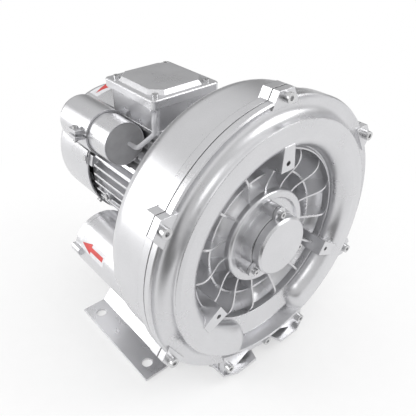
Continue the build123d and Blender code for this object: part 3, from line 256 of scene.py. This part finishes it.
def painted(name, colour, roughness, grain, depth, edge):
    """Silver paint on metal: flake sparkle, orange peel, faint clouds, and edges lightened partly as
    rubbed wear and partly as painted highlight.
    """
    finish = Finish(name)
    clouds = finish.noise(0.035, 4.0)
    flakes = finish.noise(0.0006, 1.0)
    peel = finish.noise(grain, 2.0)
    normal, mask = finish.edges(edge)
    patches = finish.ranged(finish.noise(0.004, 3.0), RUB_SPAN, 0.35, 1.0)
    # Lighter edges: partly rubbed paint, partly painted highlight
    rubbed_and_lit = finish.maths("MULTIPLY", finish.maths("MULTIPLY", mask, patches), 0.35)
    base = finish.mixed(finish.ranged(clouds, WIDE_SPAN), shade(colour, 0.95), shade(colour, 1.04))
    speck = finish.mixed(finish.ranged(flakes, TIGHT_SPAN), shade(colour, 0.90), shade(colour, 1.10))
    coat = finish.mixed(0.35, base, speck)
    finish.link(finish.mixed(rubbed_and_lit, coat, WORN_AND_LIT_EDGE), finish.shader.inputs["Base Color"])
    rough = finish.ranged(clouds, WIDE_SPAN, roughness - 0.03, roughness + 0.04)
    rough = finish.maths("ADD", rough, finish.maths("MULTIPLY", rubbed_and_lit, -0.12))
    finish.link(rough, finish.shader.inputs["Roughness"])
    finish.shader.inputs["Metallic"].default_value = 0.86
    finish.relief(peel, depth, normal)
    return finish.material


def bare_metal(name, colour, roughness, grain, depth, edge, stretch=None):
    """Bare or plated metal with tooling marks."""
    finish = Finish(name)
    marks = finish.noise(grain, 3.0, 0.6, stretch)
    stains = finish.noise(0.012, 3.0)
    normal, mask = finish.edges(edge)
    base = finish.mixed(finish.ranged(stains, TIGHT_SPAN), shade(colour, 0.88), shade(colour, 1.05))
    # Edges lightened: partly worn metal, partly painted highlight
    base = finish.mixed(finish.maths("MULTIPLY", mask, 0.5), base, WORN_AND_LIT_EDGE)
    finish.link(base, finish.shader.inputs["Base Color"])
    rough = finish.ranged(marks, WIDE_SPAN, roughness - 0.06, roughness + 0.08)
    finish.link(rough, finish.shader.inputs["Roughness"])
    finish.shader.inputs["Metallic"].default_value = 1.0
    finish.relief(marks, depth, normal)
    return finish.material


def moulded(name, colour, roughness, grain, depth, edge):
    """Plastic, rubber, resin or flat paint with a fine skin."""
    finish = Finish(name)
    skin = finish.noise(grain, 3.0)
    clouds = finish.noise(0.015, 3.0)
    normal, mask = finish.edges(edge)
    base = finish.mixed(finish.ranged(clouds, WIDE_SPAN), shade(colour, 0.88), shade(colour, 1.10))
    # Edges lightened: partly wear, partly painted highlight
    base = finish.mixed(finish.maths("MULTIPLY", mask, 0.35), base, shade(colour, 1.7))
    finish.link(base, finish.shader.inputs["Base Color"])
    rough = finish.ranged(skin, WIDE_SPAN, roughness - 0.05, roughness + 0.06)
    finish.link(rough, finish.shader.inputs["Roughness"])
    finish.relief(skin, depth, normal)
    return finish.material


def slot_finishes():
    """One finish for each material slot of the record."""
    across = (1.0, 6.0, 1.0)
    along = (20.0, 1.0, 20.0)
    # Kind, slot, colour, roughness, grain size, relief depth, edge radius and stretch of the grain
    rows = (
        (painted, "cast_silver", PAINT_SILVER, 0.29, 0.0022, 0.000035, 0.0009),
        (painted, "sheet_silver", SHEET_SILVER, 0.28, 0.0030, 0.00002, 0.0006),
        (painted, "can_metal", SHEET_SILVER, 0.28, 0.0030, 0.00002, 0.0006),
        (bare_metal, "zinc", (0.66, 0.66, 0.665), 0.24, 0.0007, 0.00001, 0.0003),
        (bare_metal, "bearing_steel", (0.62, 0.62, 0.64), 0.12, 0.0006, 0.000003, 0.0003),
        (bare_metal, "shaft_steel", (0.50, 0.50, 0.51), 0.28, 0.0006, 0.00001, 0.0004),
        (bare_metal, "impeller_metal", (0.52, 0.52, 0.53), 0.42, 0.0010, 0.00004, 0.0005),
        (bare_metal, "core_steel", (0.13, 0.13, 0.14), 0.5, 0.0005, 0.00005, 0.0003, along),
        (bare_metal, "copper", (0.55, 0.20, 0.09), 0.32, 0.0012, 0.0002, 0.0005, across),
        (moulded, "cap_resin", (0.34, 0.34, 0.35), 0.46, 0.0008, 0.00002, 0.0005),
        (moulded, "lead_sheath", (0.52, 0.52, 0.54), 0.35, 0.002, 0.00001, 0.0003),
        (moulded, "seal_rubber", (0.025, 0.025, 0.027), 0.6, 0.0006, 0.00002, 0.0003),
        (moulded, "gasket_sheet", (0.03, 0.03, 0.03), 0.8, 0.0005, 0.00003, 0.0002),
        (moulded, "foam", (0.03, 0.03, 0.033), 0.95, 0.0016, 0.0006, 0.0005),
        (moulded, "fan_plastic", (0.02, 0.02, 0.021), 0.45, 0.0007, 0.00002, 0.0005),
        (moulded, "block_plastic", (0.05, 0.05, 0.052), 0.5, 0.0007, 0.00002, 0.0004),
        (moulded, "gland_plastic", (0.25, 0.255, 0.265), 0.45, 0.0008, 0.00002, 0.0005),
    )
    return {slot: make(slot, *values) for make, slot, *values in rows}


def dress(frame):
    """Puts the finish of its material slot on every CAD node; spray reached the lead's grommet."""
    finishes = slot_finishes()
    for subpart in frame["record"]["subparts"]:
        mesh = frame["nodes"][subpart["node"]].data
        slot = "lead_sheath" if subpart["node"] == "lead_grommet" else subpart["material_slot"]
        mesh.materials.clear()
        mesh.materials.append(finishes[slot])
    return finishes


def finished_piece(name, build, material):
    """Smooth piece with that material, from a bmesh that is used up."""
    bmesh.ops.recalc_face_normals(build, faces=build.faces)
    for face in build.faces:
        face.smooth = True
    mesh = bpy.data.meshes.new(name)
    build.to_mesh(mesh)
    build.free()
    mesh.materials.append(material)
    piece = bpy.data.objects.new(name, mesh)
    bpy.context.scene.collection.objects.link(piece)
    return piece


def recess_floor(material):
    """Dished floor between the cover's fins, where the casting is thickened towards hub and lip."""
    build = bmesh.new()
    rings = []
    for radius, depth in RECESS_FLOOR:
        ring = []
        for step in range(RECESS_STEPS):
            turn = 2.0 * pi * step / RECESS_STEPS
            ring.append(build.verts.new(on_blower(radius * cos(turn), depth, radius * sin(turn))))
        rings.append(ring)
    for outer, inner in zip(rings, rings[1:]):
        for step in range(RECESS_STEPS):
            after = (step + 1) % RECESS_STEPS
            build.faces.new((outer[step], outer[after], inner[after], inner[step]))
    piece = finished_piece("recess_floor", build, material)
    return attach(piece, "housing")


def arc_patch(name, axis, radius, outline, material, body="housing"):
    """Thin patch on a round surface, from a convex or arrow outline of (angle, depth) points."""
    build = bmesh.new()
    build.faces.new([build.verts.new((angle, depth, 0.0)) for angle, depth in outline])
    low = min(angle for angle, _ in outline)
    high = max(angle for angle, _ in outline)
    cut = low + ARC_STEP
    while cut < high:
        bmesh.ops.bisect_plane(
            build,
            geom=build.verts[:] + build.edges[:] + build.faces[:],
            plane_co=(cut, 0.0, 0.0),
            plane_no=(1.0, 0.0, 0.0),
        )
        cut += ARC_STEP
    for vertex in build.verts:
        angle, depth = vertex.co.x, vertex.co.y
        x = axis[0] + radius * cos(radians(angle))
        z = axis[1] + radius * sin(radians(angle))
        vertex.co = (x, depth - FOOT_CENTRE_DEPTH, z)
    piece = finished_piece(name, build, material)
    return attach(piece, body)


def arrow_outline(middle, tip, head_back, tail, head_half, tail_half):
    """Arrow that points along the depth; half widths are in degrees."""
    return [
        (middle, tip),
        (middle - head_half, head_back),
        (middle - tail_half, head_back),
        (middle - tail_half, tail),
        (middle + tail_half, tail),
        (middle + tail_half, head_back),
        (middle + head_half, head_back),
    ]


def arrows():
    """Generic red arrows on pale labels: along the left port tube, and round the cowl."""
    red = moulded("arrow_red", ARROW_RED, 0.4, 0.0008, 0.00001, 0.0002)
    pale = moulded("pale_label", LABEL_PALE, 0.32, 0.0015, 0.00001, 0.0002)
    port_arrow = arrow_outline(
        middle=153.0,
        tip=0.1865,
        head_back=0.167,
        tail=0.142,
        head_half=10.2,
        tail_half=4.3,
    )
    for name, axis, radius, outline, paint in (
        ("port_label", PORT_AXIS, PORT_RADIUS + PAINT_LIFT, PORT_LABEL, pale),
        ("port_arrow", PORT_AXIS, PORT_RADIUS + 2 * PAINT_LIFT, port_arrow, red),
        ("cowl_label", COWL_AXIS, COWL_RADIUS + PAINT_LIFT, COWL_LABEL, pale),
        ("cowl_arrow", COWL_AXIS, COWL_RADIUS + 2 * PAINT_LIFT, COWL_ARROW, red),
    ):
        arc_patch(name, axis, radius, outline, paint)


def cowl_details(sheet):
    """Lap seam and fastening tab of the sheet cowl."""
    arc_patch("cowl_seam", COWL_AXIS, COWL_RADIUS + SEAM_LIFT, COWL_SEAM, sheet)
    arc_patch("cowl_tab", COWL_AXIS, COWL_RADIUS + TAB_LIFT, COWL_TAB, sheet)


def lamps():
    """Rectangular lamps turned towards the blower."""
    for name, place, width, height, radiance in LAMPS:
        lamp = bpy.data.lights.new(name, "AREA")
        lamp.shape = "RECTANGLE"
        lamp.size = width
        lamp.size_y = height
        lamp.energy = radiance * pi * width * height
        lit = bpy.data.objects.new(name, lamp)
        lit.location = place
        lit.rotation_euler = (Vector(LAMP_AIM) - Vector(place)).to_track_quat("-Z", "Y").to_euler()
        bpy.context.scene.collection.objects.link(lit)


def world():
    """Studio that is bright overhead and in front, greyer low behind, and white to the camera."""
    studio = bpy.data.worlds.new("studio")
    studio.use_nodes = True
    nodes = studio.node_tree.nodes
    links = studio.node_tree.links
    direction = nodes.new("ShaderNodeTexCoord")
    split = nodes.new("ShaderNodeSeparateXYZ")
    links.new(direction.outputs["Generated"], split.inputs["Vector"])

    def ramp(output, span, to_low, to_high):
        node = nodes.new("ShaderNodeMapRange")
        node.interpolation_type = "SMOOTHSTEP"
        node.inputs["From Min"].default_value = span[0]
        node.inputs["From Max"].default_value = span[1]
        node.inputs["To Min"].default_value = to_low
        node.inputs["To Max"].default_value = to_high
        links.new(output, node.inputs["Value"])
        return node.outputs["Result"]

    shoulder = ramp(split.outputs["Z"], SHOULDER_RISE, WORLD_BACK, WORLD_SHOULDER)
    crown = ramp(split.outputs["Z"], CROWN_RISE, 0.0, WORLD_TOP - WORLD_SHOULDER)
    overhead = nodes.new("ShaderNodeMath")
    links.new(shoulder, overhead.inputs[0])
    links.new(crown, overhead.inputs[1])
    in_front = ramp(split.outputs["Y"], FRONT_FADE, 1.0, 0.0)
    blend = nodes.new("ShaderNodeMix")
    links.new(in_front, blend.inputs["Factor"])
    links.new(overhead.outputs["Value"], blend.inputs[NUMBER_A])
    blend.inputs[NUMBER_B].default_value = WORLD_FRONT
    path = nodes.new("ShaderNodeLightPath")
    seen = nodes.new("ShaderNodeMix")
    links.new(path.outputs["Is Camera Ray"], seen.inputs["Factor"])
    links.new(blend.outputs[NUMBER_OUT], seen.inputs[NUMBER_A])
    seen.inputs[NUMBER_B].default_value = SEEN_WHITE
    links.new(seen.outputs[NUMBER_OUT], nodes["Background"].inputs["Color"])
    bpy.context.scene.world = studio


def painted_dark_reflection(finish, mirrored):
    """Share of the painted dark reflection in the floor's front left corner, for rays that mirror it.
    """
    split = finish.add("ShaderNodeSeparateXYZ")
    finish.link(finish.place, split.inputs["Vector"])
    to_left = finish.ranged(split.outputs["X"], PAINTED_REFLECTION_X, 1.0, 0.0)
    to_front = finish.ranged(split.outputs["Y"], PAINTED_REFLECTION_Y, 1.0, 0.0)
    corner = finish.maths("MULTIPLY", to_left, to_front)
    return finish.maths("MULTIPLY", corner, mirrored)


def floor():
    """White floor with a soft shadow about the foot; its front left corner is dark only to mirroring
    rays, a painted dark reflection in the metal.
    """
    finish = Finish("floor")
    grain = finish.noise(0.02, 2.0)
    tone = finish.mixed(finish.ranged(grain, WIDE_SPAN), *FLOOR_GREYS)
    finish.link(tone, finish.shader.inputs["Base Color"])
    finish.shader.inputs["Roughness"].default_value = FLOOR_ROUGHNESS
    distance = finish.add("ShaderNodeVectorMath")
    distance.operation = "LENGTH"
    finish.link(finish.place, distance.inputs[0])
    away = finish.ranged(distance.outputs["Value"], SHADOW_FADE, WHITE_NEAR_FOOT, 1.0)
    path = finish.add("ShaderNodeLightPath")
    mirrored = path.outputs["Is Glossy Ray"]
    seen = finish.maths("MAXIMUM", path.outputs["Is Camera Ray"], mirrored)
    seen = finish.maths("MAXIMUM", seen, path.outputs["Is Transmission Ray"])
    white = finish.add("ShaderNodeEmission")
    # Emission nearly off at that corner for mirroring rays only: painted dark reflection
    strength = finish.ranged(painted_dark_reflection(finish, mirrored), (0.0, 1.0), 1.0, PAINTED_REFLECTION_TONE)
    finish.link(strength, white.inputs["Strength"])
    blend = finish.add("ShaderNodeMixShader")
    finish.link(finish.maths("MULTIPLY", seen, away), blend.inputs["Fac"])
    finish.link(finish.shader.outputs["BSDF"], blend.inputs[1])
    finish.link(white.outputs["Emission"], blend.inputs[2])
    finish.link(blend.outputs["Shader"], finish.nodes["Material Output"].inputs["Surface"])
    mesh = bpy.data.meshes.new("floor")
    build = bmesh.new()
    bmesh.ops.create_grid(build, x_segments=4, y_segments=4, size=FLOOR_HALF_SIDE)
    build.to_mesh(mesh)
    build.free()
    ground = bpy.data.objects.new("floor", mesh)
    bpy.context.scene.collection.objects.link(ground)
    mesh.materials.append(finish.material)


def camera():
    """Camera at the photograph's place, angle and focal length."""
    data = bpy.data.cameras.new("camera")
    data.sensor_width = SENSOR_WIDTH
    data.lens = FOCAL_PIXELS / PICTURE_PIXELS * SENSOR_WIDTH
    data.clip_start = NEAREST_SEEN
    data.clip_end = FARTHEST_SEEN
    eye = bpy.data.objects.new("camera", data)
    eye.location = CAMERA_PLACE
    eye.rotation_euler = (radians(90.0 - CAMERA_PITCH), 0.0, radians(-CAMERA_AZIMUTH))
    bpy.context.scene.collection.objects.link(eye)
    bpy.context.scene.camera = eye


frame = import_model()
bpy.context.scene.view_settings.view_transform = "Standard"
finishes = dress(frame)
recess_floor(finishes["cast_silver"])
arrows()
cowl_details(finishes["sheet_silver"])
lamps()
world()
floor()
camera()
